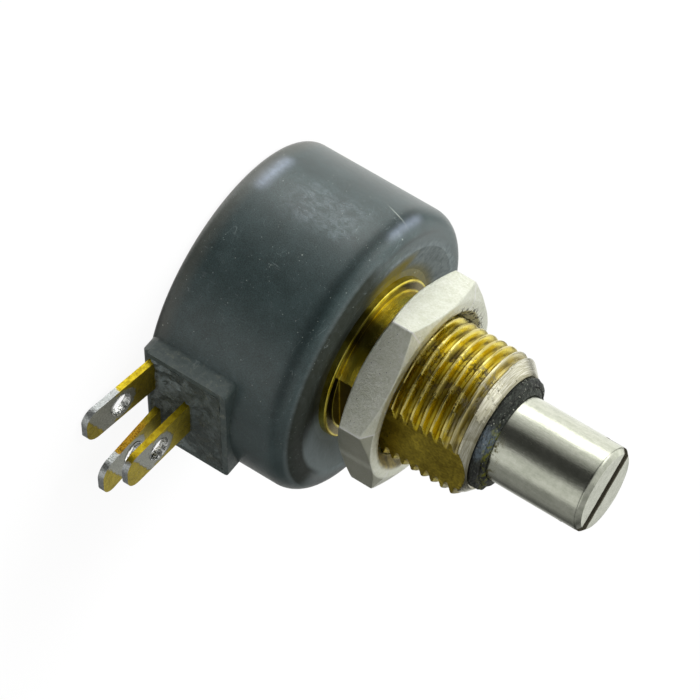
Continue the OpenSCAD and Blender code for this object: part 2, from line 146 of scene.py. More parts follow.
def lamp(name, place, aim, width, watts):
    """Square soft lamp at a place, turned to its aim."""
    made = bpy.data.objects.new(name, bpy.data.lights.new(name, "AREA"))
    made.data.energy, made.data.size = watts, width
    made.location = place
    made.rotation_euler = (Vector(aim) - Vector(place)).to_track_quat("-Z", "Y").to_euler()
    made.visible_camera = made.visible_glossy = False
    scene.collection.objects.link(made)


lamp("key", (-0.12, 0.30, 0.26), (0, 0, 0), 0.22, 2.1)
lamp("fill", (-0.30, -0.14, 0.30), (0, 0, 0), 0.25, 0.5)

floor_half, floor_z = 3, -0.01102
ground = bpy.data.meshes.new("floor")
ground.from_pydata([(x * floor_half, y * floor_half, floor_z) for x, y in ((-1, -1), (1, -1), (1, 1), (-1, 1))], [],
                   [(0, 1, 2, 3)])
floor = bpy.data.objects.new("floor", ground)
scene.collection.objects.link(floor)
floor.visible_glossy = False
pale = bpy.data.materials.new("pale_floor")
pale.use_nodes = True
pale.node_tree.nodes.clear()
sheet = Socket(pale.node_tree)
matt = sheet.add("BsdfDiffuse", inputs={0: (0.85, 0.85, 0.85, 1)})
white = sheet.add("Emission", inputs={0: (1, 1, 1, 1), 1: 1.0})
seen = sheet.add("LightPath", output=0)
sheet.add("OutputMaterial", inputs={0: sheet.add("MixShader", inputs={0: seen * 0.93, 1: matt, 2: white})})
ground.materials.append(pale)


# Moulded body and rear cover: one black thermoset, matt from the mould, scuffed and dusty. The cover is bonded on
# the back, and a brownish band is left where its edge was trimmed.
class Finish(Socket):
    """A new material: its places and patterns in millimetres, and the shader that they feed."""

    def __init__(self, name):
        self.material = bpy.data.materials.new(name)
        self.material.use_nodes = True
        self.material.node_tree.nodes.clear()
        super().__init__(self.material.node_tree)
        raw = self.add("TexCoord", output=3)
        self.place = self.add("VectorMath", {"operation": "SCALE"}, {0: raw, 3: 1000.0})
        self.x, self.y, self.z = [self.add("SeparateXYZ", inputs={0: self.place}, output=i) for i in range(3)]
        self.radius = (self.x * self.x + self.y * self.y).maths("SQRT")
        self.facing = [self.add("SeparateXYZ", inputs={0: self.add("TexCoord", output=1)}, output=i) for i in range(3)]

    def noise(self, size, detail=3.0, rough=0.55, drawn=(1, 1, 1), warp=0.0):
        """Cloudy pattern whose lumps are about this many millimetres, drawn out along the axes by these factors."""
        at = self.add("VectorMath", {"operation": "DIVIDE"}, {0: self.place, 1: drawn})
        return self.add("TexNoise", inputs={"Vector": at, "Scale": 1 / size, "Detail": detail, "Roughness": rough,
                                            "Distortion": warp})

    def specks(self, spacing, radius, share):
        """Round specks on a jittered grid with this spacing and radius, of which this share is kept."""
        cells = {"Vector": self.place, "Scale": 1 / spacing}
        kept = self.add("SeparateColor", inputs={0: self.add("TexVoronoi", inputs=cells, output=1)})
        near = self.add("TexVoronoi", inputs=cells).step(radius / spacing * 0.6, radius / spacing, 1, 0)
        return near * kept.step(share, share + 0.02, 1, 0)

    def towards(self, azimuth, width, fade):
        """Mask of the side within width degrees of this azimuth about the shaft axis, fading over fade degrees."""
        turn = math.radians(azimuth)
        along = (self.x * math.cos(turn) + self.y * math.sin(turn)) / self.radius
        return along.step(math.cos(math.radians(width + fade)), math.cos(math.radians(width)))

    def spot(self, place, reach):
        """Mask that fades from 1 round a place to 0 at reach from it."""
        gap = self.add("VectorMath", {"operation": "DISTANCE"}, {0: self.place, 1: place}, 1)
        return gap.step(reach, reach * 0.3)

    def shade(self, colour, rough, metal=0.0, relief=None, depth=0.02, dull=None, **fixed):
        """Puts the shader in: relief is a height from 0 to 1 that stands for depth millimetres, and dull is the mask
        where the surface is matt, without any gloss."""
        inputs = {"Base Color": colour, "Roughness": rough, "Metallic": metal}
        inputs.update({name.replace("_", " "): value for name, value in fixed.items()})
        if relief is not None:
            inputs["Normal"] = self.add("Bump", inputs={"Strength": 1.0, "Distance": depth / 1000, "Height": relief})
        surface = self.add("BsdfPrincipled", inputs=inputs)
        if dull is not None:
            dry = self.add("BsdfDiffuse", inputs={0: colour})
            surface = self.add("MixShader", inputs={0: dull, 1: surface, 2: dry})
        self.add("OutputMaterial", inputs={0: surface})
        return self.material


def dress(material, *names):
    """Gives CAD nodes this material."""
    for name in names:
        mesh = nodes[name].data
        mesh.materials.clear()
        mesh.materials.append(material)


def moulding(name, tint):
    """Black moulding compound: slate haze, fine grain, dust, scuffs and a painted sheen in streaks. The fillets have
    painted pale highlights, a sink mark behind the front one that is painted dark as shade, and painted crease shade on
    the front fillet. Painted white glints stand near the silhouette. The back rim is brownish and the pad grimy. The
    dish is dull with brass dust near the collar; it has a painted highlight line at its rim, a painted reflection
    towards azimuth 300 and painted shade towards azimuth 222 to 240."""
    it = Finish(name)
    cloud = it.noise(2.0, 6, 0.7)
    grain = it.noise(0.07, 3, 0.7)
    blotch = it.noise(0.5, 5, 0.7, warp=0.4)
    # Streaks that break up the painted sheen and make it a little glossier.
    sheen_streaks = it.noise(0.5, 6, 0.7, (1, 1, 1.6), 1.2).step(0.4, 0.68)
    scuff = it.noise(0.3, 4, 0.7, (1, 1, 7), 1.2).step(0.64, 0.74)
    hairline = (it.noise(0.9, 1, 0.3, (1, 6, 1), 2.0) - 0.5).maths("ABSOLUTE").step(0.007, 0.0)
    hairline = hairline * cloud.step(0.48, 0.6)
    dust = it.specks(0.33, 0.036, 0.25) + it.specks(0.9, 0.07, 0.14) + it.specks(0.21, 0.022, 0.2)
    colour = (cloud * 0.3 + grain * 0.7).step(0.36, 0.62).paint(rgb(32, 43, 43), tint)
    back = it.z.step(-9.3, -10.3) * it.y.step(-9.6, -8.6)
    colour = (back * (blotch * 0.6 + 0.15)).paint(colour, rgb(80, 78, 70))
    # Painted sheen: a paler band towards azimuth 170 that stands for a reflection on the body.
    painted_sheen = it.towards(170, 4, 10) * it.z.step(-9.0, -6.5) * it.z.step(-2.0, -3.4)
    colour = (painted_sheen * sheen_streaks * 0.2).paint(colour, rgb(146, 160, 168))
    # Painted highlights: pale lavender patches on the back rim and on the front fillet, where light catches the rounded
    # edges.
    back_rim_highlight = it.towards(166, 4, 9) * it.z.hump(-9.6, 0.3)
    front_fillet_highlight = it.towards(155, 5, 9) * it.z.hump(-0.85, 0.2)
    fillet_highlights = back_rim_highlight * 0.6 + front_fillet_highlight * 0.5
    colour = (fillet_highlights * (blotch + 0.15)).paint(colour, rgb(166, 178, 198))
    # Painted shade: the sink mark behind the front fillet is a shallow dent that is painted dark, and a thin dark line
    # in the crease on the front fillet is painted shade too.
    side = it.towards(196, 40, 25)
    shaded_sink = it.z.hump(-1.25, 0.33) * it.radius.step(9.0, 9.4) * side
    fold_shade = it.radius.hump(9.1, 0.09) * it.z.step(-0.7, -0.4) * it.towards(162, 20, 14)
    colour = (shaded_sink * 0.52 + fold_shade * 0.5).paint(colour, rgb(18, 23, 23))
    # Painted highlight: a pale line along the dish's rim edge on the lower left side.
    rim_highlight = it.radius.hump(8.12, 0.05) * it.z.step(-0.12, -0.04) * it.towards(205, 35, 15)
    colour = (rim_highlight * blotch.step(0.35, 0.6) * 0.4).paint(colour, rgb(120, 128, 126))
    # Painted shade: the dish and the front face are painted dark towards azimuth 222 to 240.
    inside = it.radius.step(8.3, 7.9)
    outside = it.radius.step(7.9, 8.3) * it.radius.step(9.7, 9.3)
    shaded = inside * it.towards(222, 34, 26) + outside * it.towards(240, 54, 22)
    front = it.radius.step(8.9, 8.2).maths("MAXIMUM", shaded) * it.z.step(-1.3, -1.0)
    dish = blotch.step(0.3, 0.7).paint(rgb(84, 91, 92), rgb(108, 116, 117))
    at_collar = it.radius.step(7.0, 6.0) * it.y.step(-1.0, 2.0) * 0.7
    brassy = (it.towards(165, 13, 13) * it.radius.step(8.3, 7.0)).maths("MAXIMUM", at_collar)
    dish = (brassy * (blotch.step(0.3, 0.6) * 0.35 + 0.6)).paint(dish, rgb(104, 93, 26))
    # Painted reflection: a pale bluish patch on the dish towards azimuth 300.
    dish = (it.towards(300, 26, 18) * 0.55).paint(dish, rgb(142, 154, 156))
    dish = (shaded * (1.0 - blotch * 0.15)).paint(dish, rgb(36, 39, 32))
    colour = front.paint(colour, dish)
    pad = it.y.step(-8.9, -9.5) * it.x.maths("ABSOLUTE").step(4.9, 4.6) * it.z.step(-3.9, -4.3)
    colour = (pad * (blotch.step(0.3, 0.7) * 0.6 + 0.25)).paint(colour, rgb(78, 88, 85))
    crumbs = pad * blotch.step(0.54, 0.64) * grain.step(0.45, 0.62)
    colour = (crumbs * 0.6).paint(colour, rgb(128, 128, 110))
    residue = it.spot((-5.5, 8.4, -8.4), 0.9) * blotch.step(0.4, 0.55)
    colour = (residue * 0.8).paint(colour, rgb(74, 66, 30))
    # Painted glints: small white specks near the silhouette towards azimuth 121 that stand for light catching the edge.
    painted_glints = it.towards(121, 1.0, 1.0) * it.z.hump(-2.9, 0.8)
    painted_glints = painted_glints * it.noise(0.35, 4, 0.7).step(0.5, 0.54)
    cut = (it.y + it.z * 0.38 - 3.94 + (cloud - 0.5) * 0.4).maths("ABSOLUTE").step(0.07, 0.02)
    cut = cut * it.towards(153, 3, 1) * it.z.hump(-1.75, 0.5)
    powder = it.spot((-9.47, -3.51, -5.88), 0.5) * it.specks(0.14, 0.05, 0.3)
    colour = (scuff * 0.24 + hairline * 0.45).paint(colour, rgb(118, 128, 128))
    colour = (cut * 0.4 + dust * 0.48 + powder * 0.5).paint(colour, rgb(180, 188, 180))
    colour = (painted_glints * 0.7).paint(colour, rgb(246, 250, 246))
    relief = grain * 0.35 + cloud * 0.4 + scuff * 0.3 + pad * blotch * 1.6 - shaded_sink * 0.9
    rough = (cloud * 0.12 + 0.25) + scuff * 0.15 + pad * 0.2 - painted_sheen * sheen_streaks * 0.05
    return it.shade(colour, rough, 0.0, relief, 0.035, front * 0.85 + shaded_sink * 0.5, IOR=1.62)


dress(moulding("body_black", rgb(54, 70, 71)), "housing")
dress(moulding("cover_black", rgb(56, 70, 70)), "rear_cover")


# Resin round the terminals: dark epoxy poured into the pad and cured with glossy menisci at the lugs and the rim.
def closed_skin(name, grid, ring=False, sharp=35):
    """Mesh over a grid of points whose rows are closed loops. Neighbouring rows are joined by quads. With ring the
    last row joins the first, and without it the first and last rows are each one point."""
    rows, columns = grid.shape[:2]
    index = np.arange(rows * columns).reshape(rows, columns)
    right = np.roll(index, -1, 1)
    if ring:
        low, high = (index, right), (np.roll(index, -1, 0), np.roll(right, -1, 0))
    else:
        low, high = (index[:-1], right[:-1]), (index[1:], right[1:])
    quads = np.stack([low[0], low[1], high[1], high[0]], -1).reshape(-1, 4)
    points = grid.reshape(-1, 3) * 0.001
    a, b, c, d = [points[quads[:, i]] for i in range(4)]
    if np.einsum("ij,ij->", a, np.cross(b, c)) + np.einsum("ij,ij->", a, np.cross(c, d)) < 0:
        quads = quads[:, ::-1]
    mesh = bpy.data.meshes.new(name)
    mesh.from_pydata(points, [], quads)
    shell = bmesh.new()
    shell.from_mesh(mesh)
    bmesh.ops.remove_doubles(shell, verts=shell.verts, dist=1e-7)
    bmesh.ops.dissolve_degenerate(shell, edges=shell.edges, dist=1e-8)
    shell.to_mesh(mesh)
    shell.free()
    mesh.shade_smooth()
    mesh.set_sharp_from_angle(angle=math.radians(sharp))
    made = bpy.data.objects.new(name, mesh)
    scene.collection.objects.link(made)
    return made


def lumps(seed, count, *places):
    """Sum of plane sine waves of random direction and phase over the places, divided by its spread: a smooth noise."""
    dice = np.random.default_rng(seed)
    waves = dice.normal(size=(count, len(places)))
    total = sum(np.sin(sum(w * p for w, p in zip(wave, places)) + dice.uniform(0, 6.28)) for wave in waves)
    return total / math.sqrt(count / 2)


def resin_pool():
    """Resin: a block from the pad's inner wall to its open end. Its end face stands out by
    rise = 0.3 exp(-gap / 0.3) near each lug and 0.21 exp(-gap / 0.35) near the rim, plus slow lumps."""
    half, low, high, inner, outer = 3.99, -10.19, -4.66, 9.02, 10.2
    middle, tall = (low + high) / 2, (high - low) / 2
    lug_half, lug_thick = 1.4, 0.225
    turn = np.linspace(0, 2 * np.pi, 480, endpoint=False)
    square = np.maximum(np.abs(np.cos(turn)), np.abs(np.sin(turn)))
    edge_x, edge_z = np.cos(turn) / square, np.sin(turn) / square
    part = np.concatenate([[0, 0.5, 1, 1], np.linspace(1, 0, 110)])[:, None]
    x = half * part * edge_x
    z = middle + tall * part * edge_z
    rim_gap = np.minimum(half - np.abs(x), tall - np.abs(z - middle))
    rise = 0.21 * np.exp(-rim_gap / 0.35)
    for lug_x, lug_z in ((-2.5, -9.575), (2.5, -9.575), (0, -7.075)):
        gap = np.hypot(np.maximum(np.abs(x - lug_x) - lug_half, 0), np.maximum(np.abs(z - lug_z) - lug_thick, 0))
        rise = np.maximum(rise, 0.3 * np.exp(-gap / 0.3))
    rise = rise + 0.035 * lumps(3, 24, 2.2 * x, 2.2 * z) + 0.012 * lumps(4, 30, 7 * x, 7 * z)
    y = -(outer + np.minimum(rise, 0.45))
    y[:3] = -inner
    grid = np.stack([x, y, z], -1)
    return closed_skin("potting_resin", grid, sharp=60)


resin = resin_pool()
it = Finish("resin")
cloud = it.noise(0.9, 5, 0.65, warp=0.4)
stain = it.noise(0.8, 5, 0.7, warp=0.8)
skin_grain = it.noise(0.08, 3, 0.7)
near_lugs = 1 - ((it.z + 9.0) * 0.6).maths("ABSOLUTE").step(0.2, 1.6)
# Painted highlights: pale grey glossy streaks on the resin, thickest near the lugs and in one spot.
highlight_streaks = cloud.step(0.47, 0.6) * (near_lugs * 0.75 + 0.25)
colour = (cloud * 0.6 + skin_grain * 0.4).step(0.35, 0.65).paint(rgb(46, 55, 53), rgb(74, 84, 82))
colour = (stain.step(0.54, 0.66) * it.z.step(-8.6, -7.6) * 0.35).paint(colour, rgb(72, 70, 48))
highlight_streaks = (highlight_streaks + it.spot((-1.9, -10.3, -8.7), 1.1) * stain.step(0.4, 0.5)).maths("MINIMUM", 1.0)
colour = (highlight_streaks * 0.6).paint(colour, rgb(130, 140, 141))
crumbs = it.noise(0.22, 4, 0.7).step(0.58, 0.66)
colour = (crumbs * 0.5).paint(colour, rgb(128, 130, 114))
colour = ((it.specks(0.3, 0.035, 0.2) + it.specks(0.7, 0.07, 0.15)) * 0.65).paint(colour, rgb(172, 176, 162))
rough = 0.4 - highlight_streaks * 0.24 + skin_grain * 0.1
relief = skin_grain * 0.4 + cloud * 1.4 + stain * 0.8 + crumbs * 0.4
resin.data.materials.append(it.shade(colour, rough, 0.0, relief, 0.08, IOR=1.6))
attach(resin, "body")
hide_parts("terminal_potting")


# Terminals: stamped brass lugs, tinned round their holes and at the tips, with scraps of old solder. The edges are
# bare bright brass near the root. They are moulded into the pad.
def lug_brass(name, eye_x, eye_out, patch, face_from, edge_from, tip_from, red):
    """Brass, olive on the face and yellow on the cut edges. Tin covers a patch of this radius round the eye, the face
    beyond face_from and the edges beyond edge_from (distances from the axis). Past tip_from brass shows again on the
    corner of the tip, and red is the share of reddish tarnish on the edge."""
    it = Finish(name)
    out, across = it.y * -1, it.x - eye_x
    blot = it.noise(0.45, 5, 0.65, warp=0.3)
    fine = it.noise(0.1, 3, 0.65)
    wander = (blot - 0.5) * 1.3
    edge = it.facing[2].maths("ABSOLUTE").step(0.7, 0.4)
    from_eye = (across * across + (out - eye_out) * (out - eye_out)).maths("SQRT")
    round_eye = (from_eye + wander * 0.6).step(patch + 0.08, patch - 0.08)
    tin_face = round_eye.maths("MAXIMUM", (out - wander).step(face_from, face_from + 0.15))
    tip_bare = (out + across * 0.52 + wander * 0.5).step(tip_from, tip_from + 0.15)
    tin_face = tin_face * (1 - tip_bare)
    tin_edge = (out - wander * 0.6).step(edge_from, edge_from + 0.15)
    tin = edge.paint(tin_face, tin_edge)
    face = (fine * 0.5 + blot * 0.5).step(0.3, 0.7).paint(rgb(140, 124, 22), rgb(196, 178, 56))
    rim = blot.step(0.4, 0.65).paint(rgb(226, 202, 52), rgb(186, 160, 36))
    rusty = (fine * 0.6 + blot * 0.4).step(0.42, 0.56).paint(rgb(96, 42, 18), rgb(196, 150, 48))
    rim = (out.step(11.2, 12.4) * red).paint(rim, rusty)
    rim = (out.step(12.2, 11.4) * red * 0.7).paint(rim, rgb(128, 116, 30))
    brass = edge.paint(face, rim)
    tinned = edge.paint(fine.step(0.3, 0.7).paint(rgb(134, 136, 128), rgb(182, 184, 176)),
                        fine.step(0.3, 0.7).paint(rgb(176, 180, 178), rgb(226, 230, 232)))
    colour = tin.paint(brass, tinned)
    wear = it.noise(0.16, 5, 0.75).step(0.63, 0.7) * 0.55
    colour = wear.paint(colour, rgb(70, 60, 30))
    rough = (fine * 0.22 + 0.3) - edge * 0.06
    return it.shade(colour, rough, 1.0, fine * 0.7 + blot * 0.8 + tin * 0.5, 0.04)


dress(lug_brass("brass_end_a", -2.5, 13.4, 1.2, 13.75, 13.35, 15.6, 0.0), "terminal_end_a")
dress(lug_brass("brass_end_b", 2.5, 13.45, 1.3, 13.5, 14.6, 15.2, 0.85), "terminal_end_b")
dress(lug_brass("brass_wiper", 0.0, 13.44, 1.25, 13.9, 15.9, 15.0, 0.1), "terminal_wiper")


it = Finish("solder")
crust = it.noise(0.26, 3, 0.55, warp=0.6)
colour = crust.step(0.38, 0.56).paint(rgb(130, 132, 128), rgb(244, 245, 244))
solder = it.shade(colour, 0.1 + crust * 0.16, 1.0, crust, 0.09)


def old_solder(name, centre, lean, seed, heavy):
    """Solder left in a lug's hole: a tube round the hole's edge, with a section radius of
    0.05 + 0.055 (1 + cos(angle - heavy)) and lumps on it, thickest towards the angle heavy. The lug leans by this
    many degrees from the Y axis."""
    around = np.linspace(0, 2 * np.pi, 120, endpoint=False)[None, :]
    section = np.linspace(0, 2 * np.pi, 28, endpoint=False)[:, None]
    fat = 0.05 + 0.055 * (1 + np.cos(around - heavy)) + 0.018 * lumps(seed, 12, 3 * np.cos(around), 3 * np.sin(around))
    fat = fat * (1 + 0.16 * lumps(seed + 1, 30, 6 * np.cos(around), 6 * np.sin(around), 3 * np.cos(section)))
    hole_edge = 0.84
    radius = hole_edge - 0.75 * fat * np.cos(section)
    height = (0.24 + 0.3 * fat) * np.sin(section)
    across, along = radius * np.cos(around), radius * np.sin(around)
    tilt = math.radians(lean)
    y = centre[1] + along * math.cos(tilt) - height * math.sin(tilt)
    z = centre[2] + along * math.sin(tilt) + height * math.cos(tilt)
    made = closed_skin(name, np.stack([centre[0] + across, y, z], -1), ring=True, sharp=180)
    made.data.materials.append(solder)
    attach(made, "body")


old_solder("solder_end_a", (-2.5, -13.398, -10.284), 8.4, 11, -0.9)
old_solder("solder_wiper", (0.0, -13.437, -7.430), 4.2, 12, -0.6)
old_solder("solder_end_b", (2.5, -13.450, -9.626), 0.6, 13, 2.2)


# Inside of the body: eyelets, resistance element, collector, thrust washer, retaining ring, rotor and springs. They
# are sealed in, and show only where the model is cut open or taken apart.
def plain_metal(name, dark, bright, rough=0.32, size=0.3):
    """Metal with brushed cloudiness between two colours."""
    it = Finish(name)
    cloud = it.noise(size, 4, 0.6, (1, 1, 0.4))
    return it.shade(cloud.step(0.3, 0.7).paint(dark, bright), rough + (cloud - 0.5) * 0.2, 1.0, cloud, 0.01)


def plain_board(name, dark, bright, size=0.25, rough=0.6):
    """Pressed or moulded insulating material, mottled between two colours."""
    it = Finish(name)
    fleck = it.noise(size, 5, 0.7)
    return it.shade(fleck.step(0.3, 0.7).paint(dark, bright), rough, 0.0, fleck, 0.015)


dress(plain_metal("eyelet_silver", rgb(150, 150, 142), rgb(206, 206, 198)), "eyelet_a", "eyelet_b", "eyelet_wiper")
dress(plain_board("paper_laminate", rgb(190, 180, 156), rgb(218, 210, 190)), "element_substrate")
dress(plain_board("carbon_track", rgb(18, 18, 18), rgb(38, 38, 38), 0.12), "resistive_track")
dress(plain_metal("silver_paste", rgb(170, 170, 166), rgb(214, 214, 208), 0.45, 0.12), "track_pad_a", "track_pad_b")
dress(plain_board("brown_laminate", rgb(96, 60, 30), rgb(134, 88, 48)), "collector_base")
dress(plain_metal("washer_steel", rgb(150, 150, 146), rgb(204, 204, 200)), "thrust_washer", "retaining_ring")
dress(plain_board("rotor_plastic", rgb(168, 158, 132), rgb(190, 180, 152), 0.8, 0.45), "rotor")
dress(plain_metal("spring_bronze", rgb(166, 112, 62), rgb(206, 150, 92), 0.28), "wiper_spring", "collector_spring")


# Bushing: turned brass with a flange moulded behind the front wall. A right-hand thread of 0.75 pitch is cut on it
# to the plain neck, and a flat is milled along the thread for the panel. Its tip is worn to a silvery colour.
def eased(corners, reach):
    """Rounds the corners of an outline: each becomes five points of the quadratic curve from a point at reach before
    the corner to one at reach after it. Corners run along the first axis, and the outline is closed."""
    before, after = np.roll(corners, 1, 0) - corners, np.roll(corners, -1, 0) - corners
    long_before = np.linalg.norm(before, axis=-1, keepdims=True)
    long_after = np.linalg.norm(after, axis=-1, keepdims=True)
    start = corners + before / long_before * np.minimum(reach, long_before * 0.45)
    end = corners + after / long_after * np.minimum(reach, long_after * 0.45)
    t = np.linspace(0, 1, 5).reshape(1, 5, *[1] * (corners.ndim - 1))
    curve = (1 - t) ** 2 * start[:, None] + 2 * t * (1 - t) * corners[:, None] + t ** 2 * end[:, None]
    return curve.reshape(-1, *corners.shape[1:])


def spun(name, outline, angles, sharp=35, ring=True):
    """Surface of an outline of (radius, z) about the shaft axis. The outline may differ from angle to angle."""
    outline = outline if outline.ndim == 3 else np.repeat(outline[:, None], len(angles), 1)
    grid = np.stack([outline[..., 0] * np.cos(angles), outline[..., 0] * np.sin(angles), outline[..., 1]], -1)
    return closed_skin(name, grid, ring, sharp)


def threaded_bushing():
    """Bushing: a closed outline of bore, flange, collar, neck, thread and mouth. On the thread
    radius = min(4.98 - 0.435 ramp(distance from the nearest crest), cone, 4.15 / cos(angle from the flat)), where the
    crest climbs 0.75 for each turn. The steps of the turn are finer near the edges of the flat."""
    neck, crest_up, depth, pitch, flat_at, cone_sum = 4.9, 0.08, 0.435, 0.75, 4.15, 4.76 + 8.99
    step = np.interp(np.linspace(0, 1, 561)[:-1], [0, 0.30, 0.42, 0.48, 0.60, 1],
                     np.radians([90, 228, 252, 288, 312, 450]))
    z = np.concatenate([np.arange(0.02, 1.2, 0.12), np.arange(1.2, 9.0, 0.0605), np.arange(9.0, 9.7, 0.1), [9.7]])
    z = z[:, None]
    crest = 8.21 + pitch * (np.degrees(step)[None, :] - 120) / 360
    off = np.abs((z - crest + pitch / 2) % pitch - pitch / 2) / (pitch / 2)
    fall = np.clip((off - 0.16) / 0.62, 0, 1)
    fall = fall ** 2 * (3 - 2 * fall) * 0.45 + fall * 0.55
    begun = np.clip((z - 1.15) / 0.35, 0, 1)
    radius = neck + crest_up * begun - depth * fall * begun
    radius = radius + 0.008 * lumps(21, 30, 3 * np.cos(step), 3 * np.sin(step), 1.2 * z)
    radius = np.minimum(radius, cone_sum - z)
    from_flat = np.abs((step - np.radians(270) + np.pi) % (2 * np.pi) - np.pi)
    radius = np.minimum(radius, flat_at / np.cos(np.minimum(from_flat, 1.2)))
    thread = np.stack([radius, z + 0 * radius], -1)
    behind = eased(np.array([(3.7, 9.7), (3.7, 8.7), (3.03, 8.7), (3.03, -2.6), (6.6, -2.6), (6.6, -1.8), (5.7, -1.8),
                             (5.7, -0.1), (5.6, 0.0), (4.9, 0.0)]), 0.03)[2:-1]
    behind = np.repeat(behind[:, None], len(step), 1)
    return spun("bushing_turned", np.concatenate([thread, behind]), step, 42)


bushing = threaded_bushing()
it = Finish("worn_brass")
patch = it.noise(1.5, 4, 0.6, warp=0.5)
fine = it.noise(0.2, 3, 0.6)
turning = it.noise(0.35, 3, 0.6, (3, 3, 0.12))
gold = patch.step(0.35, 0.65).paint(rgb(212, 188, 46), rgb(246, 230, 104))
cone = it.z * -1 + 13.75
groove = it.radius.step(4.76, 4.58) * it.z.step(1.0, 1.6) * it.z.step(9.0, 8.85)
dirt = groove.maths("MAXIMUM", (it.radius - cone).step(-0.08, -0.16) * it.z.step(8.2, 8.5))
colour = (dirt * (patch.step(0.38, 0.6) * 0.6 + 0.12)).paint(gold, rgb(88, 62, 14))
# Dark brown blotches on the thread, denser towards azimuth 192; they also lower the metal's shine.
middle = it.towards(192, 10, 20)
dark_blotches = (fine * 0.35 + patch * 0.65 + middle * 0.06).step(0.55, 0.62)
dark_blotches = dark_blotches * it.z.step(0.6, 1.2, 0.1, 1.0) * (middle * 0.7 + 0.3)
colour = (dark_blotches * 0.85).paint(colour, rgb(62, 44, 14))
shadow = it.towards(197, 7, 8) * it.z.step(1.6, 1.2)
colour = (shadow * 0.75).paint(colour, rgb(52, 44, 20))
crest = it.radius.step(4.86, 4.95) * it.z.step(1.4, 1.8)
colour = (crest * (0.75 - dark_blotches * 0.5)).paint(colour, rgb(214, 200, 134))
tip = (it.z + (patch - 0.5) * 1.6).step(7.7, 8.4)
silver = turning.step(0.3, 0.7).paint(rgb(182, 178, 150), rgb(238, 236, 220))
colour = (tip * (1 - dirt * 0.7)).paint(colour, silver)
stain = it.z.step(9.5, 9.65) + it.towards(222, 14, 14) * it.z.step(8.4, 8.8) * patch.step(0.4, 0.6) * 0.7
colour = (stain * 0.5).paint(colour, rgb(112, 104, 62))
flat = (it.y * -1).step(4.08, 4.13) * it.facing[1].step(-0.85, -0.95) * it.z.step(0.0, 0.1)
# Painted shade: the flat is painted dark between the flange and the nut.
flat_shade = it.z.step(3.4, 1.2)
olive = (fine * 0.5 + patch * 0.5).step(0.34, 0.66).paint(rgb(140, 122, 26), rgb(196, 176, 60))
olive = (flat_shade * 0.85).paint(olive, rgb(50, 40, 12))
olive = (it.specks(0.3, 0.05, 0.25) * 0.5).paint(olive, rgb(70, 58, 16))
colour = flat.paint(colour, olive)
# Painted shade: a dark ring in the corner where the neck meets the collar.
neck_corner_shade = it.radius.step(4.93, 5.08) * it.radius.step(5.6, 5.42) * it.z.step(-0.4, -0.1) * it.z.step(0.3, 0.05)
colour = (neck_corner_shade * 0.85).paint(colour, rgb(58, 44, 16))
dark_spots = it.specks(0.5, 0.07, 0.25) * it.z.step(1.0, 1.5)
colour = (dark_spots * 0.7).paint(colour, rgb(48, 40, 18))
rough = (fine * 0.12 + 0.16) + dirt * 0.16 + dark_blotches * 0.25 + flat * 0.14
relief = turning * 0.5 + fine * 0.2 + patch * 0.4
bushing.data.materials.append(it.shade(colour, rough, 1.0 - dark_blotches * 0.5, relief, 0.016))
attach(bushing, "body")
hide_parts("bushing")


# Shaft seal: black rubber pressed into the bushing's mouth, with a large bead and a small lip, old and crumbly.
def rubber_seal():
    """Seal: its closed outline about the axis, pushed in and out by slow and fine lumps of 0.05 and 0.035."""
    turn = np.linspace(0, 2 * np.pi, 420, endpoint=False)
    bend = np.linspace(-0.45, 0.5, 16) * np.pi
    bead = np.stack([3.64 + 0.36 * np.cos(bend), 9.92 + 0.34 * np.sin(bend)], -1)
    lip_bend = np.linspace(0.12, 0.5, 14) * np.pi
    lip = np.stack([3.06 + 0.52 * np.cos(lip_bend), 10.02 + 0.42 * np.sin(lip_bend)], -1)
    inner = np.stack([np.full(20, 3.035), np.linspace(10.42, 9.36, 20)], -1)
    root = np.array([(3.68, 9.36), (3.69, 9.6), (3.62, 9.72)])
    outline = np.concatenate([root, bead, lip, inner])[:, None]
    ring = np.repeat(outline, len(turn), 1)
    shape = (3 * np.cos(turn)[None], 3 * np.sin(turn)[None], 2.5 * ring[..., 1])
    push = 0.05 * lumps(31, 40, *shape) + 0.035 * lumps(32, 60, *[4 * s for s in shape]) - 0.03
    free = np.clip((ring[..., 0] - 3.1) / 0.2, 0, 1) * np.clip((ring[..., 1] - 9.7) / 0.15, 0, 1)
    ring[..., 0] = ring[..., 0] + push * free
    ring[..., 1] = ring[..., 1] + 0.6 * push * free
    return spun("seal_rubber", ring, turn, 70)


seal = rubber_seal()
it = Finish("old_rubber")
crumb = it.noise(0.17, 5, 0.8, warp=0.6)
cloud = it.noise(0.6, 3)
salt = it.specks(0.16, 0.05, 0.4)
glint = it.towards(228, 9, 12) * it.z.step(9.6, 9.9)
green = it.noise(0.5, 4, 0.7).step(0.5, 0.6) * it.z.step(10.1, 10.35) * it.y.step(-1.0, -2.2)
colour = crumb.step(0.42, 0.66).paint(rgb(10, 12, 11), rgb(70, 76, 68))
colour = (glint * crumb.step(0.35, 0.55) * 0.8).paint(colour, rgb(104, 118, 128))
colour = (salt * cloud.step(0.35, 0.55) * 0.85).paint(colour, rgb(176, 178, 164))
colour = green.paint(colour, rgb(120, 122, 26))
rough = 0.55 - cloud.step(0.5, 0.7) * 0.25 - glint * 0.15
seal.data.materials.append(it.shade(colour, rough, 0.0, crumb, 0.22, IOR=1.5))
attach(seal, "body")
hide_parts("shaft_seal")


